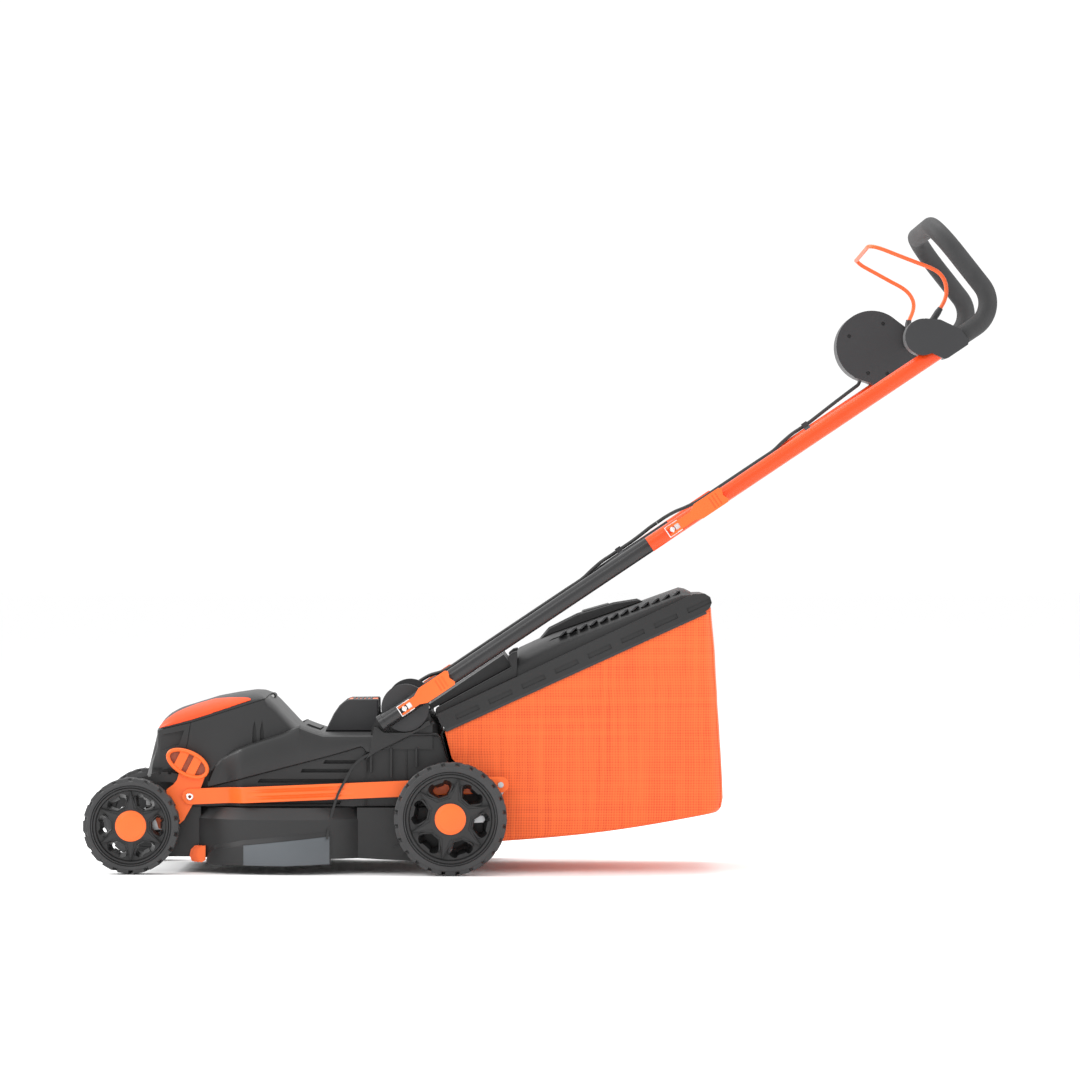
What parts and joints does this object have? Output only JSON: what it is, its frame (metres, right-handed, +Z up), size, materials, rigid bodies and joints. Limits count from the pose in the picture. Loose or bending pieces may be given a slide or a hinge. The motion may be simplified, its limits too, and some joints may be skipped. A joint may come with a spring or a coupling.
{
  "type": "rotary lawn mower",
  "caption": "Cordless rotary push mower with a moulded deck, height lever, folding tube handle, switch bail and rear grass bag.",
  "frame": {"origin": "on the ground under the middle of the mower's box", "axes": "+X from the nose to the handle, +Y from the height lever's side to the switch housing's side, +Z up"},
  "size_m": [1.4443, 0.436, 1.0416],
  "materials": {
    "charcoal_plastic": "fine moulded grain",
    "black_plastic": "fine moulded grain",
    "orange_plastic": "satin",
    "orange_paint": "gloss powder coat",
    "black_paint": "semi-gloss powder coat",
    "zinc": "zinc plated",
    "steel": "plain",
    "tyre": "moulded tread",
    "foam": "soft grip foam",
    "bag_cloth": "woven polyester",
    "cable": "matt sheath"
  },
  "bodies": {
    "deck": {"deck_housing": "charcoal_plastic", "body_shell": "charcoal_plastic", "nose_housing": "charcoal_plastic", "rear_chute": "charcoal_plastic", "carry_handle": "black_plastic", "carry_grip": "orange_plastic", "handle_brackets": "charcoal_plastic", "side_skirts": "charcoal_plastic", "grass_combs": "orange_plastic", "height_gate": "charcoal_plastic", "motor": "steel", "controller_box": "black_plastic", "battery_pack": "black_plastic", "isolator_key": "orange_plastic", "deck_screws": "zinc", "hinge_rods": "zinc"},
    "lid": {"battery_lid": "charcoal_plastic", "lid_trim": "orange_plastic"},
    "blade_set": {"blade": "steel", "blade_spindle": "steel", "blade_bolt": "zinc"},
    "front_axle_set": {"front_axle": "steel", "height_lever": "orange_plastic", "lever_rivet": "zinc"},
    "tie_bar_set": {"tie_bar": "orange_paint"},
    "rear_axle_set": {"rear_axle": "steel"},
    "wheel_front_left": {"tyre_front_left": "tyre", "rim_front_left": "charcoal_plastic", "hubcap_front_left": "orange_plastic"},
    "wheel_front_right": {"tyre_front_right": "tyre", "rim_front_right": "charcoal_plastic", "hubcap_front_right": "orange_plastic"},
    "wheel_rear_left": {"tyre_rear_left": "tyre", "rim_rear_left": "charcoal_plastic", "hubcap_rear_left": "orange_plastic"},
    "wheel_rear_right": {"tyre_rear_right": "tyre", "rim_rear_right": "charcoal_plastic", "hubcap_rear_right": "orange_plastic"},
    "flap": {"rear_flap": "charcoal_plastic"},
    "grass_bag": {"bag_lid": "charcoal_plastic", "bag_fabric": "bag_cloth", "bag_frame": "steel"},
    "lower_handle": {"lower_tubes": "black_paint", "pivot_discs": "black_plastic", "pivot_bolts": "zinc", "cable_lower": "cable", "cable_clip_lower": "black_plastic"},
    "upper_handle": {"upper_tube": "orange_paint", "joint_bolts": "zinc", "handle_grip": "foam", "switch_box": "black_plastic", "bail_bracket": "black_plastic", "cable_upper": "cable", "cable_clip_upper": "black_plastic"},
    "cam_lower_left": {"cam_lever_lower_left": "orange_plastic"},
    "cam_lower_right": {"cam_lever_lower_right": "orange_plastic"},
    "cam_upper_left": {"cam_lever_upper_left": "orange_plastic"},
    "cam_upper_right": {"cam_lever_upper_right": "orange_plastic"},
    "bail_set": {"bail": "orange_paint"},
    "button": {"safety_button": "orange_plastic"}
  },
  "joints": [
    {"name": "height_adjust", "type": "hinge", "parent": "deck", "child": "front_axle_set", "pos_m": [-0.597, 0, 0.08], "axis": [0, -1, 0], "range_deg": [0, 60]},
    {"name": "rear_axle_swing", "type": "hinge", "parent": "deck", "child": "rear_axle_set", "pos_m": [-0.09, 0, 0.0928], "axis": [0, -1, 0], "range_deg": [0, 60]},
    {"name": "tie_bar_pivot", "type": "hinge", "parent": "front_axle_set", "child": "tie_bar_set", "pos_m": [-0.556, 0, 0.1207], "axis": [0, -1, 0], "range_deg": [-62, 0]},
    {"name": "front_left_roll", "type": "hinge", "parent": "front_axle_set", "child": "wheel_front_left", "pos_m": [-0.647, -0.162, 0.0762], "axis": [0, -1, 0], "continuous": true},
    {"name": "front_right_roll", "type": "hinge", "parent": "front_axle_set", "child": "wheel_front_right", "pos_m": [-0.647, 0.162, 0.0762], "axis": [0, -1, 0], "continuous": true},
    {"name": "rear_left_roll", "type": "hinge", "parent": "rear_axle_set", "child": "wheel_rear_left", "pos_m": [-0.141, -0.195, 0.089], "axis": [0, -1, 0], "continuous": true},
    {"name": "rear_right_roll", "type": "hinge", "parent": "rear_axle_set", "child": "wheel_rear_right", "pos_m": [-0.141, 0.195, 0.089], "axis": [0, -1, 0], "continuous": true},
    {"name": "blade_spin", "type": "hinge", "parent": "deck", "child": "blade_set", "pos_m": [-0.397, 0, 0.06], "axis": [0, 0, 1], "continuous": true},
    {"name": "battery_lid_hinge", "type": "hinge", "parent": "deck", "child": "lid", "pos_m": [-0.431, 0, 0.2764], "axis": [0, 1, 0], "range_deg": [0, 75]},
    {"name": "rear_flap_hinge", "type": "hinge", "parent": "deck", "child": "flap", "pos_m": [-0.178, 0, 0.262], "axis": [0, -1, 0], "range_deg": [0, 60]},
    {"name": "bag_lift", "type": "slide", "parent": "deck", "child": "grass_bag", "axis": [0.9107, 0, 0.4131], "range_m": [0, 0.25]},
    {"name": "handle_fold", "type": "hinge", "parent": "deck", "child": "lower_handle", "pos_m": [-0.214, 0, 0.262], "axis": [0, -1, 0], "range_deg": [0, 140]},
    {"name": "upper_handle_fold", "type": "hinge", "parent": "lower_handle", "child": "upper_handle", "pos_m": [0.20847, 0, 0.54482], "axis": [0, -1, 0], "range_deg": [-165, 0]},
    {"name": "cam_lower_left_open", "type": "hinge", "parent": "lower_handle", "child": "cam_lower_left", "pos_m": [-0.214, -0.1875, 0.262], "axis": [0.5563, 0, -0.831], "range_deg": [0, 95]},
    {"name": "cam_lower_right_open", "type": "hinge", "parent": "lower_handle", "child": "cam_lower_right", "pos_m": [-0.214, 0.1875, 0.262], "axis": [-0.5563, 0, 0.831], "range_deg": [0, 95]},
    {"name": "cam_upper_left_open", "type": "hinge", "parent": "upper_handle", "child": "cam_upper_left", "pos_m": [0.20847, -0.2135, 0.54482], "axis": [0.5563, 0, -0.831], "range_deg": [0, 95]},
    {"name": "cam_upper_right_open", "type": "hinge", "parent": "upper_handle", "child": "cam_upper_right", "pos_m": [0.20847, 0.2135, 0.54482], "axis": [-0.5563, 0, 0.831], "range_deg": [0, 95]},
    {"name": "bail_squeeze", "type": "hinge", "parent": "upper_handle", "child": "bail_set", "pos_m": [0.60367, 0, 0.84789], "axis": [0, 1, 0], "range_deg": [0, 29], "stiffness_Nm_per_rad": 2, "springref_deg": -17.19},
    {"name": "safety_button_press", "type": "slide", "parent": "upper_handle", "child": "button", "axis": [0, -1, 0], "range_m": [0, 0.004], "stiffness_N_per_m": 400, "springref_m": -0.002}
  ],
  "couplings": [
    {"joint": "rear_axle_swing", "follows": "height_adjust", "ratio": 1},
    {"joint": "tie_bar_pivot", "follows": "height_adjust", "ratio": -1.029},
    {"joint": "upper_handle_fold", "follows": "handle_fold", "ratio": -1.1786}
  ]
}
